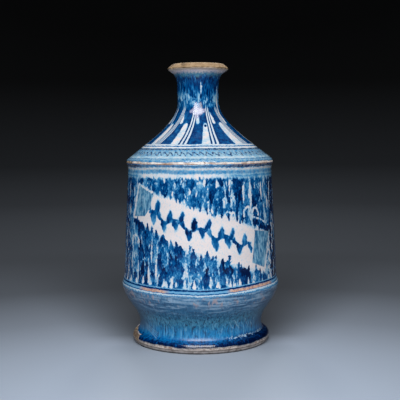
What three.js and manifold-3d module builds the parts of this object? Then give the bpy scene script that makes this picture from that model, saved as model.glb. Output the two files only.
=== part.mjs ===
// A tin-glazed pharmacy bottle, as a potter builds it: four thrown sections luted end to end at flat
// ring faces, then coated with glaze outside and inside. Millimetres, +Z up, the origin at the centre
// of the resting face. Azimuth 0 is the front, which faces -Y, and azimuths grow towards +X.
import * as THREE from 'three';
import { mergeVertices } from 'three/addons/utils/BufferGeometryUtils.js';
import Module from 'manifold-3d';

// Heights of the thrown sections, bottom to top.
const footHeight = 50.6;
const drumHeight = 105.4;
const shoulderHeight = 53;
const neckHeight = 31;

// Foot: a flat base with a half-round flange, a waist, and a flare up to the lower edge of the drum.
const flangeRadius = 59.9;
const flangeRound = 3;
const flangeDepth = 8.4;
const waistRadius = 53.3;
const waistHeight = 15.7;
const flareLift = 14.3;
const flareInset = 4.4;
const flareDrop = 18.6;
const floorThickness = 9;
const footWall = 5.8;

// Drum: widest at its lower edge, then a slightly bowed taper up to a tucked neck under the arris.
const drumRadius = 68.6;
const drumEdgeInset = 2.15;
const drumEdgeRise = 13.4;
const drumTopInset = 6.5;
const drumBow = 0.5;
const drumWall = 5.8;

// Arris: the sharp edge that stands proud where the shoulder sits on the drum.
const arrisProud = 1.9;
const arrisTuck = 3;
const arrisLipBelow = 0.8;
const arrisLipAbove = 1.2;
const arrisBevel = 1.6;

// Shoulder: a cone of constant pitch that sweeps up into a short collar.
const coneLowHeight = 2.7;
const coneHighHeight = 19.5;
const conePitch = 1.269;
const sweepReach = 28.8;
const collarReach = 5.5;
const shoulderWall = 5;

// Neck and lip: a straight neck that flares to a sharp lip with a sloping outer edge.
const neckRadius = 17.8;
const neckWall = 3.9;
const neckStraight = 8;
const lipTipRadius = 26.4;
const lipTipDrop = 3.6;
const lipEdge = 0.9;
const lipTopRadius = 22;
const lipFlareLift = 17.5;
const lipFlareInset = 2.2;
const lipFlareDrop = 2.2;
const mouthRadius = 15.6;
const mouthFlareDepth = 11;
const mouthRound = 1.2;

// Glaze coats, and how far each stops short of the bare clay beyond it.
const glazeThickness = 0.6;
const bareFoot = 5.6;
const bareUnderArris = 1.9;
const bareOverArris = 2.3;
const bareLip = 5.4;
const bareMouth = 2.6;

// The flake that is missing from the outside coat, on the foot flange.
const flakeFrom = -106;
const flakeTo = -63;
const flakeTop = 9.6;
const flakeMargin = 2;

// Facets, and the distance under which two points are one.
const facetsRound = 48;
const facetsInFlakeArc = 8;
const sameSpot = 0.01;
const axisRadius = 0;

// Radii that follow from the drum, and the levels of the joints, worked up from the resting face.
const drumBodyRadius = drumRadius - drumEdgeInset;
const drumTopRadius = drumRadius - drumTopInset;
const arrisRadius = drumTopRadius + arrisProud;
const drumLevel = footHeight;
const arrisLevel = drumLevel + drumHeight;
const collarLevel = arrisLevel + shoulderHeight;
const topLevel = collarLevel + neckHeight;

const clay = { color: '#b89a78', roughness: 0.85, metalness: 0 };
const cobaltGlaze = { color: '#2b4f86', roughness: 0.25, metalness: 0 };
const insideGlaze = { color: '#d9d2c4', roughness: 0.35, metalness: 0 };

const point = (radius, height) => new THREE.Vector2(radius, height);

/** The points of an outline, from single points and from [curve, number of chords] pairs. */
function outline(...stretches) {
  const pointsOf = (stretch) => (stretch.isVector2 ? [stretch] : stretch[0].getPoints(stretch[1]));
  const points = stretches.flatMap(pointsOf);
  return points.filter((here, i) => i === 0 || here.distanceTo(points[i - 1]) > sameSpot);
}

/** Where a climbing outline first reaches a height. */
function crossing(points, height) {
  const i = points.findIndex((p) => p.y >= height);
  const share = (height - points[i - 1].y) / (points[i].y - points[i - 1].y);
  return points[i - 1].clone().lerp(points[i], share);
}

const above = (points, height) => [crossing(points, height), ...points.filter((p) => p.y > height)];
const below = (points, height) => [...points.filter((p) => p.y < height), crossing(points, height)];

/** An outline moved to its right by a distance, or to its left by a negative one, with mitred corners. */
function offset(points, distance) {
  const rightOf = (a, b) => point(b.y - a.y, a.x - b.x).normalize();
  return points.map((here, i) => {
    const before = i > 0 ? rightOf(points[i - 1], here) : rightOf(here, points[1]);
    const after = i < points.length - 1 ? rightOf(here, points[i + 1]) : before;
    const mitre = before.clone().add(after);
    return here.clone().addScaledVector(mitre, (2 * distance) / mitre.lengthSq());
  });
}

/** A solid of revolution about +Z. Its outline begins and ends on the axis, or is closed here. */
function turned(points) {
  const profile = THREE.ShapeUtils.isClockWise(points) ? points.toReversed() : [...points];
  if (profile[0].x > axisRadius) profile.push(profile[0].clone());
  return new THREE.LatheGeometry(profile, facetsRound).rotateX(Math.PI / 2);
}

function addPiece(group, name, geometry, finish) {
  const mesh = new THREE.Mesh(geometry, new THREE.MeshStandardMaterial(finish));
  mesh.name = name;
  group.add(mesh);
}

// Foot section.
const restingRadius = flangeRadius - flangeRound;
const flangeCurve = new THREE.EllipseCurve(
  restingRadius, flangeDepth / 2, flangeRound, flangeDepth / 2, -Math.PI / 2, Math.PI / 2, false,
);
const coveCurve = new THREE.QuadraticBezierCurve(
  point(restingRadius, flangeDepth), point(waistRadius, flangeDepth), point(waistRadius, waistHeight),
);

/** The flare from the waist to the drum, at a radius less the wall thickness there. */
function flareCurve(wallLow, wallHigh) {
  const low = waistRadius - wallLow;
  const high = drumRadius - wallHigh;
  return new THREE.CubicBezierCurve(
    point(low, waistHeight), point(low, waistHeight + flareLift),
    point(high - flareInset, drumLevel - flareDrop), point(high, drumLevel),
  );
}

const footOutside = outline([flangeCurve, 6], [coveCurve, 3], [flareCurve(0, 0), 4]);
const insideWaist = waistRadius - footWall;
const floorCurve = new THREE.QuadraticBezierCurve(
  point(insideWaist - waistHeight + floorThickness, floorThickness), point(insideWaist, floorThickness),
  point(insideWaist, waistHeight),
);
const footInside = outline(
  point(axisRadius, floorThickness), [floorCurve, 2], [flareCurve(footWall, drumWall), 3],
);
const footProfile = [point(axisRadius, 0), ...footOutside, ...footInside.toReversed()];

// Drum section.
const drumBodyLevel = drumLevel + drumEdgeRise;
const drumTopLevel = arrisLevel - arrisTuck;
const drumEdgeCurve = new THREE.QuadraticBezierCurve(
  point(drumRadius, drumLevel), point(drumBodyRadius, (drumLevel + drumBodyLevel) / 2),
  point(drumBodyRadius, drumBodyLevel),
);
const drumBowCurve = new THREE.QuadraticBezierCurve(
  point(drumBodyRadius, drumBodyLevel),
  point((drumBodyRadius + drumTopRadius) / 2 + drumBow, (drumBodyLevel + drumTopLevel) / 2),
  point(drumTopRadius, drumTopLevel),
);
const drumOutside = outline(
  [drumEdgeCurve, 3], [drumBowCurve, 3],
  point(arrisRadius, arrisLevel - arrisLipBelow), point(arrisRadius, arrisLevel),
);
const insideTop = drumTopRadius - drumWall;
const drumInside = [
  point(drumRadius - drumWall, drumLevel), point(drumBodyRadius - drumWall, drumBodyLevel),
  point(insideTop, arrisLevel),
];
const drumProfile = [...drumOutside, ...drumInside.toReversed()];

// Shoulder section.
const coneDirection = point(-conePitch, 1).normalize();
const coneLow = point(arrisRadius - arrisBevel, arrisLevel + coneLowHeight);
const coneHigh = point(coneLow.x - conePitch * (coneHighHeight - coneLowHeight), arrisLevel + coneHighHeight);
const coneInward = point(-coneDirection.y, coneDirection.x).multiplyScalar(shoulderWall);

/** The sweep from the top of the cone to the collar, from a start and at the collar's radius. */
function sweepCurve(start, collarRadius) {
  return new THREE.CubicBezierCurve(
    start, start.clone().addScaledVector(coneDirection, sweepReach),
    point(collarRadius, collarLevel - collarReach), point(collarRadius, collarLevel),
  );
}

const shoulderOutside = outline(
  point(arrisRadius, arrisLevel), point(arrisRadius, arrisLevel + arrisLipAbove), coneLow,
  [sweepCurve(coneHigh, neckRadius), 5],
);
const insideNeck = neckRadius - neckWall;
const shoulderInside = outline(
  point(insideTop, arrisLevel), [sweepCurve(coneHigh.clone().add(coneInward), insideNeck), 4],
);
const shoulderProfile = [...shoulderOutside, ...shoulderInside.toReversed()];

// Neck section, with its lip.
const lipTipLevel = topLevel - lipTipDrop;
const lipUnder = point(lipTipRadius - lipEdge / 2, lipTipLevel - lipEdge);
const lipCurve = new THREE.CubicBezierCurve(
  point(neckRadius, collarLevel + neckStraight), point(neckRadius, collarLevel + neckStraight + lipFlareLift),
  point(lipUnder.x - lipFlareInset, lipUnder.y - lipFlareDrop), lipUnder,
);
const neckOutside = outline(point(neckRadius, collarLevel), [lipCurve, 5]);
const lipTop = [point(lipTipRadius, lipTipLevel), point(lipTopRadius, topLevel)];
const neckInside = [
  point(insideNeck, collarLevel), point(insideNeck, topLevel - mouthFlareDepth),
  point(mouthRadius, topLevel - mouthRound), point(mouthRadius + mouthRound, topLevel),
];
const neckProfile = [...neckOutside, ...lipTop, ...neckInside.toReversed()];

// Glaze coats: skins of even thickness on the clay outlines that they cover.
function coatProfile(points, side) {
  return [...points, ...offset(points, side * glazeThickness).toReversed()];
}

const lowerCoat = below(
  above(outline(...footOutside, ...drumOutside), bareFoot), arrisLevel - bareUnderArris,
);
const upperCoat = below(
  above(outline(...shoulderOutside, ...neckOutside), arrisLevel + bareOverArris), topLevel - bareLip,
);
const insideCoat = below(
  outline(...footInside, ...drumInside, ...shoulderInside, ...neckInside), topLevel - bareMouth,
);

// Cuts, with manifold-3d.
const wasm = await Module();
wasm.setup();

function toManifold(geometry) {
  const bare = geometry.clone();
  bare.deleteAttribute('normal');
  bare.deleteAttribute('uv');
  const merged = mergeVertices(bare, sameSpot / 10);
  return new wasm.Manifold(new wasm.Mesh({
    numProp: 3,
    vertProperties: new Float32Array(merged.attributes.position.array),
    triVerts: new Uint32Array(merged.index.array),
  }));
}

function fromManifold(solid) {
  const { vertProperties, triVerts } = solid.getMesh();
  const geometry = new THREE.BufferGeometry();
  geometry.setAttribute('position', new THREE.BufferAttribute(new Float32Array(vertProperties), 3));
  geometry.setIndex(new THREE.BufferAttribute(new Uint32Array(triVerts), 1));
  return geometry;
}

/** The space of the missing flake: an upright block that spans the whole coat on the flange and the cove. */
function flakeGeometry() {
  const reach = flangeRadius + glazeThickness + flakeMargin;
  const depth = waistRadius - flakeMargin;
  const from = THREE.MathUtils.degToRad(flakeFrom);
  const to = THREE.MathUtils.degToRad(flakeTo);
  const sector = new THREE.Shape();
  sector.absarc(0, 0, reach, from, to, false);
  sector.absarc(0, 0, depth, to, from, true);
  const block = new THREE.ExtrudeGeometry(sector, {
    depth: flakeTop, bevelEnabled: false, curveSegments: facetsInFlakeArc,
  });
  return block.rotateZ(-Math.PI / 2);
}

const lowerGlaze = toManifold(turned(coatProfile(lowerCoat, 1))).subtract(toManifold(flakeGeometry()));

const bottle = new THREE.Group();
bottle.name = 'maiolica_pot';
addPiece(bottle, 'foot_section', turned(footProfile), clay);
addPiece(bottle, 'drum_section', turned(drumProfile), clay);
addPiece(bottle, 'shoulder_section', turned(shoulderProfile), clay);
addPiece(bottle, 'neck_section', turned(neckProfile), clay);
addPiece(bottle, 'lower_glaze', fromManifold(lowerGlaze), cobaltGlaze);
addPiece(bottle, 'upper_glaze', turned(coatProfile(upperCoat, 1)), cobaltGlaze);
addPiece(bottle, 'inner_glaze', turned(coatProfile(insideCoat, -1)), insideGlaze);

export default bottle;
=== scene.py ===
"""The looks of a tin-glazed pharmacy bottle: bare fired clay, painted cobalt glaze and a plain inside glaze.

Shapes are worked out in millimetres and azimuths in degrees. Azimuth 0 is the front, which faces -Y, and
azimuths grow towards +X. Colours are red, green and blue as seen on a screen, from 0 to 255.
"""

import math

import bmesh
import bpy
import numpy as np
from mathutils import Matrix, Vector


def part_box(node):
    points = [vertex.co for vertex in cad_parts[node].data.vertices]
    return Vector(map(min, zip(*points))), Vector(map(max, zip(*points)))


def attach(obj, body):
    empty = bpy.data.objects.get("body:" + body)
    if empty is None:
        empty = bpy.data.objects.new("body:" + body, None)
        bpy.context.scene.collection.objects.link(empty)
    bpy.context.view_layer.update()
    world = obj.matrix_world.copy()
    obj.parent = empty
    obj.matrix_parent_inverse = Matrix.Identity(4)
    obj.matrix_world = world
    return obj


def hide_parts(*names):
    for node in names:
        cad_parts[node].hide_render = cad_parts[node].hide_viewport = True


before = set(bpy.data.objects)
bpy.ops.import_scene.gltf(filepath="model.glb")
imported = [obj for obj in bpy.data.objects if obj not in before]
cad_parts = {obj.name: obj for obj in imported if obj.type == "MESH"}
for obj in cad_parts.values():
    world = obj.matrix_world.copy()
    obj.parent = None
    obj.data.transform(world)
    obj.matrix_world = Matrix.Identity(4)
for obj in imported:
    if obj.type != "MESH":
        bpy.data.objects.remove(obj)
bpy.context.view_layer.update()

MM = 0.001


def corner(node):
    """The highest corner of a node's box, in millimetres."""
    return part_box(node)[1] / MM


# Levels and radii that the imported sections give.
drum_level = corner("foot_section").z
arris_level = corner("drum_section").z
collar_level = corner("shoulder_section").z
top_level = corner("neck_section").z
drum_radius = corner("drum_section").x
arris_radius = corner("shoulder_section").x
lip_radius = corner("neck_section").x

# Foot: half-round flange, waist and flare.
flange_radius = 59.9
flange_round = 3
flange_depth = 8.4
waist_radius = 53.3
waist_height = 15.7
flare_lift = 14.3
flare_inset = 4.4
flare_drop = 18.6
floor_thickness = 9
foot_wall = 5.8
base_hollow = 0.9
base_ring = 9

# Drum and arris.
edge_inset = 2.15
edge_rise = 13.4
top_inset = 6.5
drum_bow = 0.5
drum_wall = 5.8
arris_tuck = 3
arris_lip_below = 0.8
arris_lip_above = 1.2
arris_bevel = 1.6

# Shoulder.
cone_low_height = 2.7
cone_high_height = 19.5
cone_pitch = 1.269
sweep_reach = 28.8
collar_reach = 5.5
shoulder_wall = 5

# Neck and lip.
neck_radius = 17.8
neck_wall = 3.9
neck_straight = 8
lip_flare_lift = 17.5
lip_flare_inset = 2.2
lip_flare_drop = 2.2
lip_tip_drop = 3.6
lip_edge = 0.9
lip_top_radius = 22
lip_crown = (1.2, 0.5)
mouth_radius = 15.6
mouth_flare_depth = 11
mouth_round = 1.2

# Glaze, and the bare clay that its coats leave at foot, arris, lip, mouth and the middle of the floor.
glaze_thickness = 0.58
bead_width = 1.3
bare_foot = 4.9
bare_below_arris = 0.6
bare_above_arris = 1.3
bare_lip = 0.9
bare_mouth = 2.6
bare_floor = 3

# Where a flake of glaze is missing on the foot flange, in degrees of azimuth.
flake_low, flake_high = -106, -63

# Fineness of the meshes: steps round the pot, and rows along an outline, in millimetres.
around = 480
around_inside = 240
sectors = 24
bare_row = 0.4
fine_row = 1
upper_row = 0.66
coarse_row = 3
hidden_row = 7
curve_points = 160
axis_gap = 0.001

# How far from a brush stroke its depth is still worked out.
far = 4


def bezier(*points):
    """Close points on the Bezier curve through control points of (radius, height)."""
    t = np.linspace(0, 1, curve_points)[:, None]
    degree = len(points) - 1
    weights = [math.comb(degree, k) * t**k * (1 - t) ** (degree - k) for k in range(degree + 1)]
    return sum(weight * np.array(point, float) for weight, point in zip(weights, points))


def chain(start, *bends):
    """Close points on Bezier curves, each from the end of the one before through its own control points."""
    curves = []
    for bend in bends:
        curves.append(bezier(start, *bend))
        start = bend[-1]
    return np.vstack(curves)


def half_round(centre, across, up):
    """Close points on the outer half of an ellipse, bottom to top."""
    turn_by = np.linspace(-math.pi / 2, math.pi / 2, curve_points)
    return np.stack([centre[0] + across * np.cos(turn_by), centre[1] + up * np.sin(turn_by)], 1)


class Outline:
    """A climbing outline of the pot, read by the distance along it."""

    def __init__(self, *curves):
        points = np.vstack(curves)
        apart = np.hypot(*np.diff(points, axis=0).T) > axis_gap
        self.points = points[np.r_[True, apart]]
        self.lengths = np.r_[0, np.cumsum(np.hypot(*np.diff(self.points, axis=0).T))]

    def place(self, along):
        """Radius and height at a distance along the outline."""
        return np.stack([np.interp(along, self.lengths, self.points[:, k]) for k in (0, 1)], -1)

    def outward(self, along, span=0.45):
        """The direction square to the outline, away from the wall on an outside outline."""
        run = self.place(along + span) - self.place(along - span)
        run /= np.linalg.norm(run, axis=-1, keepdims=True)
        return np.stack([run[..., 1], -run[..., 0]], -1)

    def where(self, height):
        """The distance along the outline at which it reaches a height."""
        return float(np.interp(height, self.points[:, 1], self.lengths))


def rows_between(start, end, spacing):
    """Even distances from start to end, about a spacing apart, both ends included."""
    return np.linspace(start, end, max(2, round(abs(end - start) / spacing) + 1))


resting_radius = flange_radius - flange_round
body_radius = drum_radius - edge_inset
body_level = drum_level + edge_rise
body_degree = math.radians(1) * body_radius
drum_top_radius = drum_radius - top_inset
drum_top_level = arris_level - arris_tuck
cone_low = (arris_radius - arris_bevel, arris_level + cone_low_height)
cone_climb = cone_high_height - cone_low_height
cone_high = np.array([cone_low[0] - cone_pitch * cone_climb, cone_low[1] + cone_climb])
cone_direction = np.array([-cone_pitch, 1]) / math.hypot(cone_pitch, 1)
cone_inside = cone_high + np.array([-cone_direction[1], cone_direction[0]]) * shoulder_wall
neck_level = collar_level + neck_straight
lip_level = top_level - lip_tip_drop
lip_under = (lip_radius - lip_edge / 2, lip_level - lip_edge)


def flare(wall_low, wall_high):
    """The bend from the waist to the drum, inset by the wall."""
    low = waist_radius - wall_low
    high = drum_radius - wall_high
    return [
        (low, waist_height + flare_lift), (high - flare_inset, drum_level - flare_drop), (high, drum_level),
    ]


def sweep(start, radius):
    """The bend from the top of the cone to the collar."""
    bend = start + cone_direction * sweep_reach
    return [bend, (radius, collar_level - collar_reach), (radius, collar_level)]


outside = Outline(
    half_round((resting_radius, flange_depth / 2), flange_round, flange_depth / 2),
    chain(
        (resting_radius, flange_depth),
        [(waist_radius, flange_depth), (waist_radius, waist_height)],
        flare(0, 0),
        [(body_radius, (drum_level + body_level) / 2), (body_radius, body_level)],
        [((body_radius + drum_top_radius) / 2 + drum_bow, (body_level + drum_top_level) / 2),
         (drum_top_radius, drum_top_level)],
        [(arris_radius, arris_level - arris_lip_below), (arris_radius, arris_level)],
        [(arris_radius, arris_level + arris_lip_above), cone_low],
        [cone_high],
        sweep(cone_high, neck_radius),
        [(neck_radius, neck_level)],
        [(neck_radius, neck_level + lip_flare_lift),
         (lip_under[0] - lip_flare_inset, lip_under[1] - lip_flare_drop), lip_under],
        [(lip_radius, lip_level - lip_edge / 2), (lip_radius, lip_level)],
        [(lip_top_radius + lip_crown[0], top_level - lip_crown[1]), (lip_top_radius, top_level)],
    ),
)

inside_waist = waist_radius - foot_wall
inside_neck = neck_radius - neck_wall
mouth_level = top_level - mouth_flare_depth
inside = Outline(
    chain(
        (0, floor_thickness),
        [(inside_waist - waist_height + floor_thickness, floor_thickness)],
        [(inside_waist, floor_thickness), (inside_waist, waist_height)],
        flare(foot_wall, drum_wall),
        [(body_radius - drum_wall, body_level)],
        [(drum_top_radius - drum_wall, arris_level)],
    ),
    chain(
        cone_inside,
        sweep(cone_inside, inside_neck),
        [(inside_neck, mouth_level)],
        [(inside_neck, top_level - mouth_flare_depth / 2), (mouth_radius, top_level - mouth_round),
         (mouth_radius + mouth_round, top_level)],
    ),
)

# Dents and chips on arris, lip and foot: azimuth, height, reach and depth of each.
chips = [
    (-71, 156, 2.6, 0.7), (-48, 155.6, 1.8, 0.4), (-17, 156.2, 2.2, 0.5), (9, 155.8, 3.2, 0.45),
    (38, 156.4, 2.4, 0.6), (66, 156, 2, 0.5), (104, 155.8, 3, 0.8), (151, 156, 2.2, 0.6),
    (-163, 156, 3.4, 0.7), (-118, 156, 2.4, 0.6),
    (-58, 236.2, 2.2, 0.8), (-38, 238.5, 1.8, 0.5), (14, 236.6, 1.6, 0.4), (36, 237.2, 2.2, 0.7),
    (72, 236.4, 2, 0.7), (118, 236.6, 2.8, 0.9), (171, 238, 2.2, 0.6), (-142, 236.4, 2.6, 0.8),
    (-78, 3.4, 5, 0.8), (-31, 4.6, 2.6, 0.5), (3, 2.2, 3, 0.4), (27, 4.4, 2.4, 0.5), (58, 3.2, 3.4, 0.6),
    (112, 4, 4, 0.7), (169, 3.2, 3.4, 0.6), (-135, 4, 4.6, 0.8),
]


def turn_from(start, azimuth):
    """The angle from one azimuth to another, from -180 to 180 degrees."""
    return (azimuth - start + 180) % 360 - 180


def rise(values, low, high):
    """0 below low, 1 above high and a smooth climb between."""
    share = np.clip((values - low) / (high - low), 0, 1)
    return share * share * (3 - 2 * share)


def wave(*parts):
    """A ragged closed wave round the pot, from (repeats, size, phase) parts, as a function of azimuth."""
    return lambda azimuth: sum(
        size * np.sin(np.radians(azimuth) * repeats + phase) for repeats, size, phase in parts
    )


def handmade(turned, radius, height):
    """Points of a perfect pot, at azimuths in radians, moved to where the hand and long use left them."""
    oval = 0.16 * np.cos(2 * turned + 0.6) + 0.07 * np.cos(3 * turned - 1)
    wobble = 0.06 * np.sin(0.62 * height + turned) + 0.05 * np.sin(0.23 * height - 2 * turned)
    held = np.clip(height / 12, 0, 1) * np.clip((top_level - height) / 12, 0, 1)
    radius = np.maximum(0, radius + (oval + wobble - 0.3) * held * np.clip(radius / 12, 0, 1))
    for azimuth, level, reach, depth in chips:
        across = np.radians(turn_from(azimuth, np.degrees(turned))) * radius
        nearest = float(outside.place(outside.where(level))[0])
        distance = np.sqrt(across**2 + (height - level) ** 2 + (radius - nearest) ** 2)
        radius = radius - depth * rise(distance, reach, 0)
    lean = -1.1 * np.clip((height - arris_level) / (collar_level - arris_level), 0, 1) ** 2
    return np.stack([radius * np.sin(turned) + lean, -radius * np.cos(turned), height], 1)


def spin(form, ring, closed, steps):
    """Joins vertices in a line or a loop and turns them once round the upright axis."""
    pairs = list(zip(ring, ring[1:]))
    if closed:
        pairs.append((ring[-1], ring[0]))
    edges = [form.edges.new(pair) for pair in pairs]
    bmesh.ops.spin(
        form, geom=ring + edges, cent=(0, 0, 0), axis=(0, 0, 1), dvec=(0, 0, 0), angle=2 * math.pi,
        steps=steps, use_merge=True, use_normal_flip=False, use_duplicate=False,
    )
    bmesh.ops.remove_doubles(form, verts=form.verts, dist=axis_gap * MM)


def smooth_mesh(form, name):
    """The finished mesh of a form."""
    mesh = bpy.data.meshes.new(name)
    form.to_mesh(mesh)
    form.free()
    mesh.polygons.foreach_set("use_smooth", [True] * len(mesh.polygons))
    return mesh


def goes_round(edge):
    """Whether an edge runs round the pot, and not along its outline."""
    start, end = (vert.co for vert in edge.verts)
    climb = abs(start.z - end.z)
    spread = abs(start.xy.length - end.xy.length)
    return max(climb, spread) < axis_gap * MM


def turn(name, rows, steps):
    """A mesh turned about the upright axis, first in sectors that are then split into steps.

    Each row is (radius, height, distance along, share of coat)."""
    form = bmesh.new()
    along = form.verts.layers.float.new("along")
    share = form.verts.layers.float.new("share")
    ring = []
    for radius, height, distance, part in rows:
        vert = form.verts.new((0, -radius * MM, height * MM))
        vert[along] = distance
        vert[share] = part
        ring.append(vert)
    spin(form, ring, rows[0][0] > axis_gap, sectors)
    level_edges = [edge for edge in form.edges if goes_round(edge)]
    bmesh.ops.subdivide_edges(form, edges=level_edges, cuts=steps // sectors - 1)
    bmesh.ops.recalc_face_normals(form, faces=form.faces)
    return smooth_mesh(form, name)


def read_places(mesh):
    """The azimuth in radians and the height of each vertex."""
    points = np.empty(len(mesh.vertices) * 3)
    mesh.vertices.foreach_get("co", points)
    x, y, z = points.reshape(-1, 3).T
    return np.arctan2(x, -y), z / MM


def write_points(mesh, points):
    mesh.vertices.foreach_set("co", (points * MM).ravel())
    mesh.update()


def read_layer(mesh, name):
    """The numbers of a layer, which is then removed."""
    values = np.empty(len(mesh.vertices))
    mesh.attributes[name].data.foreach_get("value", values)
    mesh.attributes.remove(mesh.attributes[name])
    return values


def write_layers(mesh, **layers):
    for name, values in layers.items():
        made = mesh.attributes.new(name, "FLOAT", "POINT")
        made.data.foreach_set("value", values.astype(np.float32))


def linked(name, shown):
    """A new object of the scene for a mesh, a lamp or a camera."""
    made = bpy.data.objects.new(name, shown)
    bpy.context.scene.collection.objects.link(made)
    return made


def finished(mesh, node, material):
    """Shows a finished mesh in place of the node that it stands for."""
    mesh.set_sharp_from_angle(angle=math.radians(52))
    mesh.materials.append(material)
    piece = linked(mesh.name, mesh)
    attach(piece, "root")
    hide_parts(node)


def clay_section(name, node, material, levels, spacings, inner_row=coarse_row, foot_end=(), top_end=()):
    """A thrown section: up the outside, across the top end, down the inside and across the foot end.

    It has three levels, and the spacing of its outside rows changes at the middle one."""
    low, middle, high = (outside.where(level) for level in levels)
    outer = [*rows_between(low, middle, spacings[0]), *rows_between(middle, high, spacings[1])[1:]]
    inner = rows_between(inside.where(levels[0]), inside.where(levels[2]), inner_row)[::-1]
    rows = [*foot_end, *map(outside.place, outer), *top_end, *map(inside.place, inner)]
    mesh = turn(name, [(radius, height, radius, 0) for radius, height in rows], around)
    turned, height = read_places(mesh)
    radius = read_layer(mesh, "along")
    read_layer(mesh, "share")
    write_points(mesh, handmade(turned, radius, height))
    finished(mesh, node, material)


class Ground:
    """Where each vertex of a coat lies: azimuth in degrees, and radius, height and distance from the coat's
    lower edge in millimetres."""

    def __init__(self, azimuth, radius, height, from_edge):
        self.azimuth = azimuth
        self.radius = radius
        self.height = height
        self.from_edge = from_edge

    def across(self, azimuth):
        """How far each vertex lies to the right of an azimuth, in millimetres round the pot."""
        return np.radians(turn_from(azimuth, self.azimuth)) * self.radius


def skin(name, outline, side, low, high, low_edge, high_edge, thickness, row, steps):
    """A closed coat on an outline, from distance low to high along it, and the ground that it gives.

    low_edge and high_edge say how far each edge of the coat strays along the outline at an azimuth, and
    thickness gives the coat's depth from the azimuth and the distance along."""
    bead = bead_width * np.array([0.12, 0.3, 0.6, 1])
    outer = [low, *(low + bead), *rows_between(low + bead_width + row, high - bead_width - row, row)]
    outer += [*(high - bead[::-1]), high]
    rows = [(*outline.place(s), s, float(low < s < high)) for s in outer]
    rows += [(*outline.place(s), s, 0) for s in rows_between(low, high, hidden_row)[1:-1][::-1]]
    mesh = turn(name, rows, steps)
    along = read_layer(mesh, "along")
    share = read_layer(mesh, "share")
    turned = read_places(mesh)[0]
    azimuth = np.degrees(turned)
    stray_low = low_edge(azimuth)
    stray_high = high_edge(azimuth)
    calm = 9
    along = along + stray_low * (1 - rise(along, low + bead_width, low + calm))
    along = along + stray_high * rise(along, high - calm, high - bead_width)
    to_edge = np.minimum(along - low - stray_low, high + stray_high - along)
    roundness = np.sqrt(np.clip(1 - (1 - np.clip(to_edge / bead_width, 0, 1)) ** 2, 0, 1))
    depth = side * share * roundness * thickness(azimuth, along)
    radius, height = (outline.place(along) + outline.outward(along) * depth[:, None]).T
    write_points(mesh, handmade(turned, radius, height))
    return mesh, Ground(azimuth, radius, height, along - low - stray_low)


class Brushwork:
    """Brush strokes on a coat: how deep each vertex lies inside the nearest one, negative outside."""

    def __init__(self, ground):
        self.ground = ground
        self.depth = np.full(len(ground.height), -float(far))
        self.tone = np.full(len(ground.height), 0.7)

    def stroke(self, *points, tone=(0.7, 0.7)):
        """A stroke through points of (azimuth, height, width), with the tones of its two ends."""
        tones = np.linspace(*tone, len(points))
        for start, end, *pair in zip(points, points[1:], tones, tones[1:]):
            self.segment(start, end, pair)

    def segment(self, start, end, tones):
        ground = self.ground
        across = ground.across(start[0])
        up = ground.height - start[1]
        climb = end[1] - start[1]
        reach = max(start[2], end[2]) / 2 + far
        right = math.radians(turn_from(start[0], end[0])) * ground.radius
        near = (across > np.minimum(0, right) - reach) & (across < np.maximum(0, right) + reach)
        near &= (up > min(0, climb) - reach) & (up < max(0, climb) + reach)
        near = np.nonzero(near)[0]
        across, up, right = across[near], up[near], right[near]
        length = np.maximum(right**2 + climb**2, axis_gap)
        share = np.clip((across * right + up * climb) / length, 0, 1)
        gap = np.hypot(across - share * right, up - share * climb)
        depth = (start[2] + (end[2] - start[2]) * share) / 2 - gap
        deeper = depth > self.depth[near]
        self.depth[near[deeper]] = depth[deeper]
        self.tone[near[deeper]] = (tones[0] + (tones[1] - tones[0]) * share)[deeper]


def operator(operation, swapped=False):
    """A Python operator on a Value, which adds a Math node."""
    def apply(*values):
        return values[0].finish.math(operation, *(values[::-1] if swapped else values))
    return apply


class Value:
    """A number socket of a material, so that shader maths reads as arithmetic."""

    __add__ = __radd__ = operator("ADD")
    __sub__ = operator("SUBTRACT")
    __rsub__ = operator("SUBTRACT", swapped=True)
    __mul__ = __rmul__ = operator("MULTIPLY")
    __truediv__ = operator("DIVIDE")
    __abs__ = operator("ABSOLUTE")
    larger = operator("MAXIMUM")

    def __init__(self, finish, socket):
        self.finish = finish
        self.socket = socket

    def sway(self, size):
        """Noise as a shift, by up to half of a size either way."""
        return (self - 0.5) * size

    def step(self, low, high):
        """0 where the value is below low, 1 above high and a smooth climb between."""
        settings = {"interpolation_type": "SMOOTHSTEP"}
        inputs = {"Value": self, "From Min": low, "From Max": high}
        return self.finish.number("Result", "ShaderNodeMapRange", settings, inputs)

    def line(self, centre, half, soft):
        """1 within half of a centre, fading out over soft."""
        return 1 - abs(self - centre).step(half - soft, half + soft)

    def between(self, low, high, soft):
        """1 from low to high, fading out over soft at both."""
        return self.step(low - soft, low + soft) * (1 - self.step(high - soft, high + soft))

    def blend(self, share, other):
        """This value where share is 0, and the other where it is 1."""
        inputs = {"Factor": share, "A": self, "B": other}
        return self.finish.number("Result", "ShaderNodeMix", {"data_type": "FLOAT"}, inputs)

    def profile(self, *stops):
        """A number that follows the value through stops of (value, number)."""
        low, high = stops[0][0], stops[-1][0]
        shades = [((at - low) / (high - low), (number,) * 3) for at, number in stops]
        inputs = {"Fac": (self - low) / (high - low)}
        return self.finish.number("Color", "ShaderNodeValToRGB", {"stops": shades}, inputs)


def linear(red, green, blue):
    """A colour as seen on a screen, 0 to 255, as the colour that a shader takes."""
    shares = (red / 255, green / 255, blue / 255)
    return tuple(c / 12.92 if c <= 0.04045 else ((c + 0.055) / 1.055) ** 2.4 for c in shares)


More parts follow.
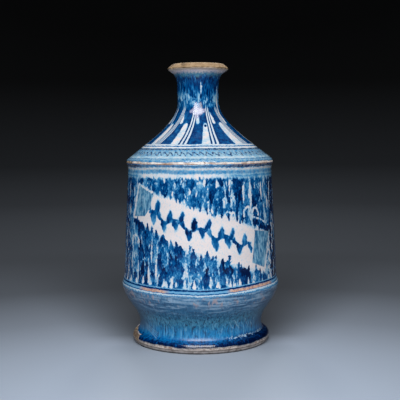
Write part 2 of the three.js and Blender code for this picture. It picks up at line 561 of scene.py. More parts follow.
class Finish:
    """A material in the making, with the east, north, height and azimuth of each point of the surface."""

    def __init__(self, name):
        self.material = bpy.data.materials.new(name)
        self.material.use_nodes = True
        self.tree = self.material.node_tree
        self.tree.nodes.clear()
        self.object_place = self.node("ShaderNodeTexCoord").outputs["Object"]
        parts = self.node("ShaderNodeSeparateXYZ", {}, {"Vector": self.object_place})
        self.east, self.north, self.height = (Value(self, parts.outputs[name]) / MM for name in "XYZ")
        self.azimuth = self.math("ARCTAN2", self.east, self.north * -1) * math.degrees(1)

    def node(self, kind, settings=None, inputs=None):
        """A node of a type, with its settings set first and then the values or links of its sockets."""
        made = self.tree.nodes.new(kind)
        for name, value in (settings or {}).items():
            if name == "stops":
                self.set_stops(made.color_ramp, value)
            else:
                setattr(made, name, value)
        for name, value in (inputs or {}).items():
            socket = made.inputs[name]
            if isinstance(value, Value):
                self.tree.links.new(value.socket, socket)
            elif isinstance(value, bpy.types.NodeSocket):
                self.tree.links.new(value, socket)
            else:
                socket.default_value = value
        return made

    @staticmethod
    def set_stops(ramp, stops):
        while len(ramp.elements) < len(stops):
            ramp.elements.new(1)
        for element, (position, colour) in zip(ramp.elements, stops):
            element.position = position
            element.color = (*colour, 1)

    def number(self, output, kind, settings=None, inputs=None):
        """An output of a new node as a number to reckon with."""
        return Value(self, self.node(kind, settings, inputs).outputs[output])

    def math(self, operation, *values):
        return self.number(0, "ShaderNodeMath", {"operation": operation}, dict(enumerate(values)))

    def over(self, colour, *layers):
        """A colour with layers of (share, colour) laid over it in turn."""
        for share, shade in layers:
            made = self.node("ShaderNodeMix", {"data_type": "RGBA"}, {"Factor": share})
            for name, value in (("A", colour), ("B", shade)):
                socket = next(s for s in made.inputs if s.name == name and s.type == "RGBA")
                if isinstance(value, tuple):
                    socket.default_value = (*linear(*value), 1)
                else:
                    self.tree.links.new(value, socket)
            colour = next(s for s in made.outputs if s.type == "RGBA")
        return colour

    def ramp(self, value, stops):
        """A colour that follows a value through stops of (value, red, green, blue)."""
        shades = [(at, linear(*shade)) for at, *shade in stops]
        return self.node("ShaderNodeValToRGB", {"stops": shades}, {"Fac": value}).outputs["Color"]

    def layer(self, name):
        """A number that the mesh carries at its vertices."""
        return self.number("Fac", "ShaderNodeAttribute", {"attribute_name": name})

    def spots(self, upright=1, move=(0, 0, 0), level=1):
        """The place on the pot in millimetres, stretched upright or level, and moved, for a pattern."""
        inputs = {
            "Vector": self.object_place, "Scale": (level / MM, level / MM, upright / MM), "Location": move,
        }
        return self.node("ShaderNodeMapping", {}, inputs).outputs["Vector"]

    def noise(self, size, upright=1, move=(0, 0, 0), detail=3, roughness=0.55, distortion=0, level=1):
        """Cloudy noise with features of about a size in millimetres."""
        return self.number("Fac", "ShaderNodeTexNoise", {}, {
            "Vector": self.spots(upright, move, level), "Scale": 1 / size, "Detail": detail,
            "Roughness": roughness, "Distortion": distortion,
        })

    def cells(self, size):
        """Distance from the nearest of scattered points, about a size in millimetres apart."""
        inputs = {"Vector": self.spots(), "Scale": 1 / size}
        return self.number("Distance", "ShaderNodeTexVoronoi", {}, inputs)

    def close(self, colour, roughness, relief=None, strength=0, distance=0, **constants):
        """Joins colour, roughness and relief to the shader, whose other sockets are constants."""
        inputs = {"Base Color": colour, "Roughness": roughness}
        inputs.update({name.replace("_", " "): value for name, value in constants.items()})
        if relief:
            bump = {"Strength": strength, "Distance": distance * MM, "Height": relief}
            inputs["Normal"] = self.node("ShaderNodeBump", {}, bump).outputs["Normal"]
        shader = self.node("ShaderNodeBsdfPrincipled", {}, inputs)
        self.node("ShaderNodeOutputMaterial", {}, {"Surface": shader.outputs["BSDF"]})
        return self.material


# Levels at which one kind of painting gives way to the next, up to where the glaze is worn at the lip.
trim_low = 48.6
field_low, field_high = 56.5, 145
tongue_foot = 171
worn_level = 230.6

# The scrolled band of the shoulder: waves round the pot, middle level and half height in millimetres, and
# how steep its flanks are.
scroll_units = 68
scroll_level = 164
scroll_rise = 1.15
scroll_flank = 1.3

# From bare white glaze through the blues to the deepest cobalt.
cobalt_scale = [
    (0, 231, 221, 220), (0.1, 204, 216, 226), (0.26, 134, 185, 214), (0.44, 58, 136, 188),
    (0.62, 2, 88, 148), (0.82, 0, 52, 110), (1, 0, 24, 66),
]


def glossy(finish, colour, pigment, dull, ragged, streaks, mottle):
    """Closes a painted glaze, whose gloss is less where it is dull."""
    roughness = 0.12 + ragged.sway(0.08) + dull
    relief = pigment * 0.2 + streaks * 0.2 + mottle
    return finish.close(colour, roughness, relief, 0.4, 0.25, IOR=1.62, Specular_IOR_Level=0.5)


def lower_painting():
    """Cobalt on white from the foot to the arris."""
    finish = Finish("painted_drum_glaze")
    height, azimuth = finish.height, finish.azimuth
    drift = finish.noise(38, detail=1)
    ragged = finish.noise(2, 0.5, roughness=0.7)
    streaks = finish.noise(1.5, 0.15, (7, 3, 1), 2, 0.6)
    mottle = finish.noise(4.4, 0.45, (2, 9, 4), 3, 0.65)
    ripple = finish.noise(2.2, 1, (1, 5, 2), 3, 0.6)

    pigment = field_of_dabs(finish, azimuth, ragged, streaks, mottle)
    level = height + drift.sway(2.4) + ripple.sway(3.4)
    jagged = height + streaks.sway(7) + ragged.sway(6)
    pigment = pigment.blend(jagged.step(field_high - 2, field_high + 0.4), top_rings(level, azimuth, mottle))
    wash = (finish.layer("wash") + ragged.sway(1.2)).step(-0.5, 0.5)
    washed = finish.over(
        (42, 112, 156),
        ((mottle * 0.5 + ragged * 0.5).step(0.42, 0.58), (122, 174, 202)),
        (streaks.step(0.54, 0.64) * 0.8, (18, 78, 126)),
        (streaks.step(0.44, 0.36) * 0.75, (160, 194, 216)),
    )
    dulled = height.step(146, 149) * ragged.step(0.42, 0.58) * 0.4
    colour = finish.over(finish.ramp(pigment, cobalt_scale), (wash, washed), (dulled, (146, 170, 186)))

    climb = azimuth.profile(
        (-180, 2.2), (-90, 1.6), (-45, 0.9), (-25, 0.4), (0, 0),
        (18, 0.6), (45, 2.2), (90, 3.2), (180, 2.2),
    )
    edge = height + drift.sway(1.2) + ripple.sway(1.5) - climb * 1.1
    trim = edge_rings(finish, edge, azimuth, ragged, streaks, mottle)
    colour = finish.over(trim, (edge.step(field_low - 1.2, field_low - 0.5), colour))
    foot = foot_glaze(finish, height, azimuth, ragged, streaks, mottle)
    colour = finish.over(foot, ((edge + streaks.sway(6)).step(trim_low - 1, trim_low + 1), colour))
    satin = height.between(flange_depth + 2, trim_low - 0.6, 1.6)
    return glossy(finish, colour, pigment, satin * 0.26, ragged, streaks, mottle)


def field_of_dabs(finish, azimuth, ragged, streaks, mottle):
    """Pigment of the drum between its rings: dabs, lights left in them, and the banderole."""
    feather = finish.noise(4, 0.5, (8, 1, 5), 3, 0.7)
    lights = finish.noise(2.6, 0.32, (5, 5, 2), 2, 0.6)
    grain = finish.noise(1, 0.6, (2, 6, 3), 1)
    flecks = finish.noise(1.6, 0.45, (3, 7, 5), 2)
    tone = finish.layer("tone")
    band = finish.layer("band") + streaks.sway(3) + ragged.sway(2.4)
    gap = 0.6 + mottle.sway(0.4) - lights.step(0.46, 0.56) * 0.4
    gap = gap.blend(band.step(-4.5, -0.5), 0.1).blend(band.step(-0.8, 0.8), 0)
    dabs = (finish.layer("dab") + feather.sway(7) + ragged.sway(2)).step(-0.5, 0.3)
    pigment = gap.blend(dabs, tone + mottle.sway(1) + ragged.sway(0.6)) + grain.sway(0.5)
    # Painted shade: the cobalt is drawn darker towards the sides of the drum and slightly darker round its
    # back, with more pale flecks there.
    side = abs(azimuth).step(58, 72) * (1 - abs(azimuth).step(84, 110) * 0.8)
    pigment = pigment - flecks.step(0.61, 0.68) * (0.3 + side * 0.3) + side * 0.2
    reserve = (finish.layer("reserve") + ragged.sway(3)).step(-0.5, 0.4)
    pigment = pigment.blend(reserve, 0.17 - ragged.step(0.4, 0.6) * 0.16)
    drawn = finish.layer("drawn") + ragged.sway(2.4) + feather.sway(2.6)
    pigment = pigment.blend(drawn.step(-1.8, -0.4), 0.18 - ragged.step(0.42, 0.56) * 0.18)
    return pigment.blend(drawn.step(-0.5, 0.3), tone + mottle.sway(1.3))


def top_rings(level, azimuth, mottle):
    """Pigment of the rings under the arris."""
    rings = level.profile(
        (142, 0.2), (144.5, 0.06), (147.2, 0.08), (148.4, 0.42), (149.6, 0.46), (150.8, 0.3), (151.6, 0.04),
        (152.6, 0.1), (153.4, 0.5), (154.6, 0.58), (155.6, 0.3),
    )
    heavy = azimuth.step(12, 32).larger((azimuth * -1).step(46, 58))
    heavy = heavy * level.profile((144, 0.1), (146.4, 0.4), (148, 0), (152.4, 0), (153.4, 0.36), (156, 0.4))
    return rings + heavy + mottle.sway(0.5)


def edge_rings(finish, edge, azimuth, ragged, streaks, mottle):
    """Colour of the rings along the lower edge of the drum."""
    drips = (edge + streaks.sway(3)).profile((49, 0.5), (50.2, 0.12), (51.2, 0.1), (52, 0.34))
    rings = edge.profile(
        (49, 0), (50.6, 0), (51.3, 0.8), (52, 0.3), (53, 0.2), (53.5, 0.5), (53.9, 0.92), (54.6, 0.9),
        (55.1, 0.3), (55.5, 0.05), (56.4, 0.05),
    )
    painted = finish.ramp((rings + mottle.sway(0.3)).larger(drips), cobalt_scale)
    bald = azimuth.between(20, 62, 3).larger(azimuth.between(-46, -24, 4))
    bald = bald.larger(abs(azimuth).step(96, 110) * mottle.step(0.5, 0.6))
    bald = bald * (edge + mottle.sway(1.4)).between(51.3, 53.5, 0.3)
    clay_tint = finish.over((160, 128, 122), (ragged.step(0.35, 0.65), (214, 176, 156)))
    return finish.over(painted, (bald, clay_tint))


def foot_glaze(finish, height, azimuth, ragged, streaks, mottle):
    """Colour of the foot: glaze that ran down and pooled on the flange, and painted shade on its sides."""
    fine = finish.noise(1.5, 0.1, (4, 4, 9), 3, 0.7, 0.5)
    rings = finish.noise(1.8, 1, (6, 2, 3), 3, 0.65, level=0.1)
    run = height + streaks.sway(10) + mottle.sway(6) - azimuth.between(30, 140, 20) * 2.5
    pooled = finish.ramp(run / 60, [
        (0.09, 0, 12, 44), (0.13, 0, 34, 84), (0.175, 0, 94, 158), (0.225, 0, 122, 180),
        (0.29, 0, 116, 172), (0.36, 18, 116, 158), (0.44, 52, 126, 156), (0.52, 12, 100, 136),
        (0.6, 22, 100, 142), (0.7, 50, 108, 148), (0.84, 74, 126, 166),
    ])
    upper = height.step(30, 40)
    lower = height.step(9, 15) * (1 - upper)
    # Painted shade: the foot is drawn darker on its sides, away from the front.
    deep = abs(azimuth).step(38, 76) * height.between(15, 50, 3)
    swell = height + streaks.sway(5) + mottle.sway(3)
    light_lines = swell.line(11.4, 0.3, 0.35) * azimuth.between(24, 76, 6) * ragged.step(0.4, 0.5)
    slant = height * 1.6 + azimuth * 0.5
    left = scratches(slant, 2.2) * azimuth.between(-61, -42, 2)
    left = left * slant.between(-7, 2, 0.6) * height.between(9, 24, 1.5) * 0.6
    right = scratches(height * 0.5 + azimuth * 0.62 - streaks * 2, 3.6) * azimuth.between(26, 56, 4)
    right = right * height.between(18, 28, 2) * mottle.step(0.46, 0.54) * 0.5
    rim = finish.layer("edge") + ragged.sway(0.9)
    return finish.over(
        pooled,
        (fine.step(0.51, 0.64) * lower * 0.62, (108, 166, 200)),
        (fine.step(0.47, 0.36) * lower * 0.95, (0, 36, 78)),
        (rings.step(0.5, 0.62) * upper * 0.8, (148, 180, 206)),
        (rings.step(0.46, 0.34) * upper * 0.9, (14, 60, 100)),
        (ragged.step(0.56, 0.68) * upper * 0.5, (156, 184, 208)),
        (ragged.step(0.44, 0.34) * 0.55, (0, 48, 90)),
        # painted shade on the sides of the foot
        (deep * (0.42 + mottle * 0.4), (2, 44, 72)),
        (light_lines * 0.95, (186, 212, 226)),
        (left.larger(right) * 0.8, (166, 200, 216)),
        (mottle.step(0.54, 0.62) * height.between(41, 50, 3) * 0.7, (176, 156, 158)),
        (rim.step(0.8, 0.3), (206, 198, 194)),
    )


def scratches(place, apart):
    """Fine parallel lines where a place, in millimetres, passes every so far apart."""
    share = place.finish.math("FRACT", place / apart)
    return (share * apart).line(apart / 2, 0.3, 0.2)


def upper_painting():
    """Cobalt on white from the arris to the lip."""
    finish = Finish("painted_shoulder_glaze")
    height, azimuth = finish.height, finish.azimuth
    drift = finish.noise(30, detail=1)
    ragged = finish.noise(1.7, 0.6, roughness=0.7)
    streaks = finish.noise(1.5, 0.18, (5, 2, 8), 2, 0.6)
    mottle = finish.noise(4, 0.5, (3, 1, 6), 3, 0.65)
    ripple = finish.noise(2.6, 1, (1, 5, 2), 3, 0.6)

    reserve = (finish.layer("reserve") + ragged.sway(2)).step(-0.7, 0.35)
    pale = 0.16 - mottle.step(0.4, 0.6) * 0.14
    pigment = (0.76 + mottle.sway(0.9) + ragged.sway(0.5)).blend(reserve, pale)
    patches = height.between(202, 215, 4) * mottle.step(0.44, 0.58)
    neck = (0.76 + streaks.sway(1.5) + ragged.sway(0.5) - patches * 0.46).larger(0.22)
    pigment = pigment.blend((height + streaks.sway(14)).step(199, 206) * (1 - reserve), neck)
    strip = finish.layer("strip") + ragged.sway(0.22)
    stripes = strip.profile(
        (0, 0.12), (0.2, 0.14), (0.28, 0.86), (0.44, 0.86),
        (0.54, 0.08), (0.8, 0.08), (0.9, 0.9), (1.08, 0.9),
    )
    within = strip.step(1.16, 1.02) * (height + streaks.sway(10)).step(207, 200)
    drawn = (finish.layer("drawn") + ragged.sway(0.7)).step(-0.35, 0.25)
    pigment = pigment.blend(within, stripes).blend(drawn, 0.9)
    level = height + drift.sway(1.2) + ripple.sway(1.5)
    rings = shoulder_rings(finish, level, azimuth, mottle, ragged)
    pigment = rings.blend(level.step(tongue_foot + 0.6, tongue_foot + 1), pigment)

    # Painted highlight: a pale lilac patch on the front of the neck, where the key lamp's reflection lies.
    bloom = (finish.layer("bloom") + ragged.sway(2.4)).step(-0.7, 0.5)
    thin = (height + streaks.sway(8) + mottle.sway(6)).step(worn_level - 2.8, worn_level + 1.4)
    worn = (height + streaks.sway(3) + mottle.sway(3)).step(worn_level, worn_level + 3)
    bare = finish.over(
        (236, 220, 230),
        (mottle.step(0.4, 0.62), (250, 230, 222)),
        (height.step(233, 235), (236, 208, 182)),
    )
    colour = finish.over(
        finish.ramp(pigment, cobalt_scale),
        (height.between(157, 168, 1) * ragged.step(0.42, 0.58) * 0.55, (160, 188, 200)),
        (mottle.step(0.5, 0.62) * pigment.step(0.12, 0.04) * height.step(186, 180) * 0.3, (232, 206, 198)),
        # painted highlight laid over the cobalt
        (bloom * 0.8, (166, 167, 194)),
        (thin * 0.85, (88, 158, 184)),
        (worn, bare),
    )
    return glossy(finish, colour, pigment, worn * 0.3, ragged, streaks, mottle)


def shoulder_rings(finish, level, azimuth, mottle, ragged):
    """Pigment of the rings and the scrolled band above the arris."""
    rings = level.profile(
        (157.4, 0.4), (158.2, 0.46), (158.9, 0.4), (159.4, 0.2), (159.7, 0.66), (160, 0.6),
        (160.4, 0.2), (161.4, 0.12), (162.2, 0.27), (165.6, 0.32), (166.6, 0.4), (167.1, 0.5),
        (167.4, 0.92), (168.1, 0.95), (168.5, 0.2), (168.9, 0.04), (169.6, 0.06), (169.9, 0.66),
        (170.3, 0.62), (170.7, 0.1), (171.3, 0.04), (171.7, 0.3),
    )
    shade = abs(azimuth).step(30, 60) * level.between(158, 167, 1)
    rings = rings + mottle.sway(0.5) + shade * (0.1 + ragged.sway(0.8))
    above = level - scroll_level
    swing = (azimuth + mottle.sway(4)) * math.radians(scroll_units) + above * 0.8
    flank = finish.math("COSINE", swing) * scroll_flank
    off_curve = abs(above - finish.math("SINE", swing) * scroll_rise)
    off_curve = off_curve / finish.math("SQRT", flank * flank + 1)
    stroke = (off_curve + ragged.sway(0.9)).step(0.74, 0.34)
    stroke = stroke * finish.math("COSINE", swing * 0.5 + 0.5).step(0.98, 0.9)
    inside_band = level.between(scroll_level - 2.2, scroll_level + 2.2, 0.2)
    return rings.blend(stroke * inside_band, 0.92 - mottle.step(0.44, 0.58) * 0.14)


def fired_clay(name, pale, dark, stain_and_shade, stain_share, worn_levels=(1000, 1001), rust_level=-9, groove=-9):
    """Bare fired clay, speckled and stained by use.

    Scraps of glaze hang on between two worn levels, rust lies below a level, and a thin groove runs round,
    drawn darker, with painted contact shade below it.
    The usual levels of all three lie off the pot."""
    finish = Finish(name)
    height = finish.height
    cloud = finish.noise(5, 0.8, detail=4, roughness=0.65)
    grain = finish.noise(0.5, detail=2, roughness=0.7)
    patches = finish.noise(7, 0.6, (4, 4, 4), 4, 0.6)
    scraps = finish.noise(3.6, 3, (2, 8, 1), 3, 0.7)
    uneven = height + scraps.sway(1.6)
    worn = uneven.between(*worn_levels, 0.25)
    turned = height + scraps.sway(0.8)
    line = turned.line(groove, 0.3, 0.25)
    # Painted contact shade: the clay is drawn darker from just under the groove down to the resting edge.
    below = turned.step(groove - 1.4, groove - 2.4)
    flake = finish.azimuth.between(flake_low, flake_high, 2) * height.step(3.6, 4.6)
    ochre = finish.over((160, 134, 98), (cloud.step(0.42, 0.56), (96, 78, 60)))
    colour = finish.over(
        pale,
        (cloud.step(0.35, 0.68), dark),
        (patches.step(0.62 - stain_share * 0.3, 0.74), stain_and_shade),
        (grain.step(0.62, 0.8) * 0.45, dark),
        (uneven.step(rust_level + 0.25, rust_level - 0.25) * 0.75, (172, 124, 94)),
        # the darker groove line, and painted contact shade below it
        ((line * 0.85).larger(below * 0.7), stain_and_shade),
        (scraps.step(0.48, 0.54) * worn, (206, 196, 188)),
        (scraps.step(0.49, 0.42) * worn * 0.8, (160, 116, 80)),
        (flake * 0.85, ochre),
    )
    pits = finish.cells(1.3).step(0.22, 0.1)
    turning = finish.noise(0.8, 1, (3, 3, 3), 2, level=0.1)
    relief = cloud * 0.4 + grain * 0.4 + turning * 0.4 - pits * 0.5 - line * 0.8
    return finish.close(colour, 0.72 + grain.sway(0.3), relief, 0.6, 0.25, Specular_IOR_Level=0.3)


def inner_wash():
    """The thin, stained glaze of the inside."""
    finish = Finish("plain_inside_glaze")
    cloud = finish.noise(14, 0.5, detail=4, roughness=0.6)
    grain = finish.noise(1.2, detail=2)
    colour = finish.over(
        (214, 204, 188),
        (cloud.step(0.38, 0.7), (176, 152, 124)),
        (grain.step(0.6, 0.8) * 0.3, (120, 100, 80)),
    )
    relief = cloud * 0.7 + grain * 0.3
    return finish.close(colour, 0.38 + cloud.sway(0.25), relief, 0.3, 0.3, Specular_IOR_Level=0.4)


def clay_body():
    """The four thrown sections."""
    # The foot's stain colour also paints the contact shade at the foot of its ring.
    foot = fired_clay(
        "foot_ring_clay", (178, 170, 167), (128, 119, 115), (66, 58, 54), 0.3,
        worn_levels=(4.1, 6), groove=3,
    )
    arris = fired_clay(
        "arris_clay", (238, 230, 222), (176, 158, 148), (128, 106, 94), 0.2, rust_level=arris_level - 0.1,
    )
    lip = fired_clay("lip_clay", (168, 142, 110), (140, 114, 84), (104, 84, 60), 0.16)
    ring_inside = resting_radius - base_ring
    base = [
        *[(radius, base_hollow) for radius in (0, 4, 14, 26, 38)], (ring_inside, base_hollow * 0.8),
        (ring_inside + 3, 0.1), (ring_inside + 5, 0), (resting_radius - 1.5, 0),
    ]
    crown = [(lip_top_radius - 1.6, top_level), (lip_top_radius - 3.4, top_level)]
    clay_section("foot_clay", "foot_section", foot, (0, 13, drum_level), (0.5, coarse_row), foot_end=base)
    clay_section(
        "drum_clay", "drum_section", arris, (drum_level, arris_level - 5, arris_level),
        (coarse_row, bare_row),
    )
    clay_section(
        "shoulder_clay", "shoulder_section", arris, (arris_level, arris_level + 4, collar_level),
        (bare_row, coarse_row),
    )
    clay_section(
        "neck_clay", "neck_section", lip, (collar_level, lip_level - 5, top_level), (coarse_row, bare_row),
        coarse_row / 2, top_end=crown,
    )


# The banderole: its edges by azimuth, the folded ends, and where the vine along it starts and ends.
band_top = [
    (-62, 141), (-53, 138), (-40, 131), (-30, 128.5), (-16, 126.5), (-10, 121), (0, 118), (10, 113.5),
    (20, 112), (30, 108), (40, 102), (62, 98),
]
band_bottom = [
    (-60, 111), (-47, 108), (-38, 103), (-30, 99), (-20, 92), (-10, 88), (0, 84.5), (10, 81),
    (20, 77), (30, 73), (38, 70.5), (52, 66),
]
left_end = [(-52, 139), (-37, 131.5), (-42, 113), (-58, 112)]
right_end = [(44, 101), (62, 98), (53, 69), (40, 74.5)]
vine_start, vine_end = (-40, 116.5), (39, 88.5)


def quadrangle(ground, corners):
    """How deep each vertex lies inside a four-cornered shape, with its corners clockwise from the front."""
    middle = sum(azimuth for azimuth, _ in corners) / len(corners)
    across = ground.across(middle)
    depth = np.full(len(across), float(far))
    for (azimuth_a, height_a), (azimuth_b, height_b) in zip(corners, corners[1:] + corners[:1]):
        run = (azimuth_b - azimuth_a) * body_degree
        climb = height_b - height_a
        side = (across - (azimuth_a - middle) * body_degree) * climb - (ground.height - height_a) * run
        depth = np.minimum(depth, side / math.hypot(run, climb))
    return depth


def banderole(ground):
    """How deep each vertex lies inside the white banderole."""
    top = np.interp(ground.azimuth, *zip(*band_top))
    bottom = np.interp(ground.azimuth, *zip(*band_bottom))
    depth = np.minimum(top - ground.height, ground.height - bottom)
    left = np.interp(ground.height, *zip(left_end[3][::-1], left_end[0][::-1]))
    right = np.interp(ground.height, *zip(right_end[2][::-1], right_end[1][::-1]))
    ends = np.minimum(ground.azimuth - left, right - ground.azimuth) * body_degree
    return np.clip(np.minimum(depth, ends), -far, far)


# Masses darker or paler than the rest: (azimuth, height, reach across, reach up, change of tone).
masses = [
    (-14, 133, 9, 9, 0.1), (14, 131, 8, 14, 0.12), (27.5, 132, 5.5, 16, 0.26), (48, 129, 6, 18, 0.14),
    (-46, 76, 5, 12, 0.22), (-48, 72, 18, 18, 0.16), (-26, 74, 5, 13, 0.1), (0, 62, 7, 9, 0.14),
    (15, 66, 6, 12, 0.1), (33, 65, 6, 6, 0.14), (1, 128, 6, 10, -0.12), (-57, 84, 7, 12, -0.18),
    (3, 72, 6, 3, -0.3), (56, 128, 6, 9, -0.2), (24, 113, 8, 5, -0.34), (-35, 82, 5, 14, -0.14),
    (30, 68, 15, 11, 0.2), (36, 140, 20, 5, -0.1), (68, 76, 9, 26, 0.28), (70, 118, 8, 18, 0.2),
    (-7, 65, 3, 4, -0.3),
]


def darkness(azimuth, height):
    """The tone of the cobalt at a place."""
    tone = 0.72
    for at, level, wide, tall, change in masses:
        away = ((azimuth - at) / wide) ** 2 + ((height - level) / tall) ** 2
        tone += change * math.exp(-away)
    return tone


def dab(work, azimuth, low, high, draws):
    """One dab of cobalt: its tip is up below the banderole and down above it."""
    middle = (low + high) / 2
    dark = darkness(azimuth, middle) + draws.uniform(-0.2, 0.16)
    width = draws.uniform(3.4, 7.6) * (0.36 + 0.8 * dark)
    lean = draws.uniform(-2, 2)
    tip, blunt, fade = low, high, 0.12
    if middle < np.interp(azimuth, *zip(*band_top)) - 8:
        tip, blunt, fade = high, low, 0.2
    work.stroke(
        (azimuth, tip, 0.6), (azimuth + lean * 0.6, tip + (blunt - tip) * 0.6, width),
        (azimuth + lean, blunt, width * 0.6), tone=(dark + 0.08, dark - fade),
    )


def dabs_along(work, azimuth, start, end, way, draws):
    """Dabs one after another in a column, upwards with a way of 1 and downwards with a way of -1."""
    while (end - start) * way > 0:
        reached = start + way * draws.uniform(8, 20)
        kept = way * min(way * reached, way * end + 1)
        dab(work, azimuth, min(start, kept), max(start, kept), draws)
        start = reached - way * draws.uniform(-0.5, 3)


def dabbed_field(work, draws):
    """Upright dabs of cobalt that cover the drum, in columns that break off at the banderole."""
    columns = 84
    for column in range(columns):
        azimuth = column * 360 / columns - 180 + draws.uniform(-2, 2)
        over = np.interp(azimuth, *zip(*band_top)) + draws.uniform(-1.5, 2.5)
        under = np.interp(azimuth, *zip(*band_bottom)) + draws.uniform(-1.5, 5)
        crossed = band_bottom[0][0] < azimuth < band_bottom[-1][0] + 8
        dabs_along(work, azimuth, under if crossed else field_high, field_low, -1, draws)
        dabs_along(work, azimuth, over if crossed else field_high, field_high, 1, draws)
    work.stroke((43, 109, 3.6), (52, 104, 5), (61, 99, 2.6), tone=(1, 1))
    work.stroke((-58, 108.5, 4), (-49, 105, 5), (-42, 98, 2.6), tone=(0.9, 0.9))


# Pale upright marks in the cobalt: (azimuth, lowest, highest, width) of each, and azimuths of drops.
pale_marks = [
    (-60, 68, 84, 1.9), (-51, 56, 76, 1.9), (-40, 58, 72, 2.2), (-37, 74, 94, 1.6), (-33, 60, 80, 2.2),
    (33.5, 124, 141, 2.2), (40.5, 121, 143, 2.6), (3, 138, 145, 2), (12, 137, 144, 1.8), (22, 130, 145, 1.4),
    (-14, 140, 146, 1.8), (-27, 141, 146, 1.8), (53, 126, 141, 2), (61, 116, 128, 2.2), (17, 123, 128, 1.8),
    (-66, 60, 78, 1.8), (-71, 84, 106, 1.8), (-66, 110, 124, 1.8), (-68, 128, 142, 1.8), (66, 118, 134, 1.6),
    (73, 94, 112, 1.8), (67, 132, 143, 1.8), (70, 60, 76, 1.8), (-76, 66, 88, 1.6), (78, 120, 138, 1.6),
    (-8, 131, 137, 1.8), (-20, 128, 134, 1.6), (6, 117, 126, 1.5), (9, 116, 123, 1.2), (-57, 118, 128, 1.2),
]
drops = [-27, -24.5, -20.5, -17, -11, -8, -4, 7, 12, 21, 24, 28.5]


def marks_left_pale(work, draws):
    """Pale marks left in the cobalt, and a row of drops above the lower edge of the drum."""
    places = zip(draws.uniform(74, 290, 46), draws.uniform(62, 134, 46))
    sides = [(azimuth, low, low + draws.uniform(6, 18), draws.uniform(1.2, 2)) for azimuth, low in places]
    for azimuth, low, high, width in pale_marks + sides:
        middle = (azimuth + draws.uniform(-0.6, 0.6), (low + high) / 2, width)
        work.stroke((azimuth, low, 0.8), middle, (azimuth, high, 0.7))
    for azimuth in [*drops, *np.arange(34, 330, 8) + draws.uniform(-3, 3, 37)]:
        tall = draws.uniform(3, 7)
        width = draws.uniform(1.8, 3.4)
        foot = draws.uniform(56.8, 58.6)
        work.stroke((azimuth, foot, width), (azimuth + draws.uniform(-0.7, 0.7), foot + tall, 0.5))


def scallops(work, azimuth, height, sizes, width):
    """A row of arches, side by side from an azimuth on, each of a size in millimetres."""
    for size in sizes:
        azimuth += size / body_degree
        work.stroke(*[
            (azimuth + size * math.cos(a) / body_degree, height + 1.3 * size * math.sin(a), width)
            for a in np.radians(np.linspace(-15, 195, 9))
        ])
        azimuth += size / body_degree


def serpentine(work, azimuth, top, bottom, swing, waves, width):
    """A wavy stroke down the drum, with a short dash in each bend."""
    work.stroke(*[
        (azimuth + swing * math.sin(share * waves * 2 * math.pi), top + (bottom - top) * share, width)
        for share in np.linspace(0, 1, waves * 8 + 1)
    ])
    for i in range(2 * waves):
        level = top + (bottom - top) * (i + 0.5) / (2 * waves)
        side = swing * (0.3 if i % 2 else -0.3)
        work.stroke((azimuth - side, level - 0.8, width), (azimuth + side * 1.6, level + 0.8, width * 0.6))


def twig(work, azimuth, low, tall, width):
    """An upright twig with pairs of short leaves."""
    work.stroke((azimuth, low, width), (azimuth + 0.4, low + tall, width * 0.6))
    for share in (0.2, 0.45, 0.7):
        level = low + tall * share
        for side in (-1, 1):
            work.stroke(
                (azimuth, level, width), (azimuth + side * 2.6, level + 2.6, width * 1.5),
                (azimuth + side * 3.6, level + 4.4, width * 0.5),
            )


def vine(work, draws):
    """A leafy vine along the middle of the banderole."""
    leaves = 17
    waves = 4.25
    joints = 68
    stem = []
    for share in np.arange(joints + 1) / joints:
        azimuth, height = (start + (end - start) * share for start, end in zip(vine_start, vine_end))
        stem.append((azimuth, height + 2.4 * math.sin(share * waves * 2 * math.pi), 1.5))
    work.stroke(*stem, tone=(0.6, 0.7))
    for i in range(leaves):
        azimuth, height, _ = stem[round((i + 0.5) / leaves * joints)]
        side = 1 if i % 2 else -1
        size = draws.uniform(0.72, 1.08)
        slant = draws.uniform(0.4, 2.8)
        dark = draws.uniform(0.7, 1.05)
        work.stroke(
            (azimuth, height, 2), (azimuth + slant * 0.5, height + side * 3.4 * size, 4.6 * size),
            (azimuth + slant, height + side * 7 * size, 4.2 * size),
            (azimuth + slant, height + side * 10 * size, 1.6), tone=(dark, dark - 0.3),
        )
        work.stroke(
            (azimuth - 1.4, height - side * 0.5, 1.6),
            (azimuth - 2.6, height - side * 3.6 * size, 3.4 * size),
            (azimuth - 2.4, height - side * 6 * size, 1.6), tone=(dark - 0.1, 0.5),
        )


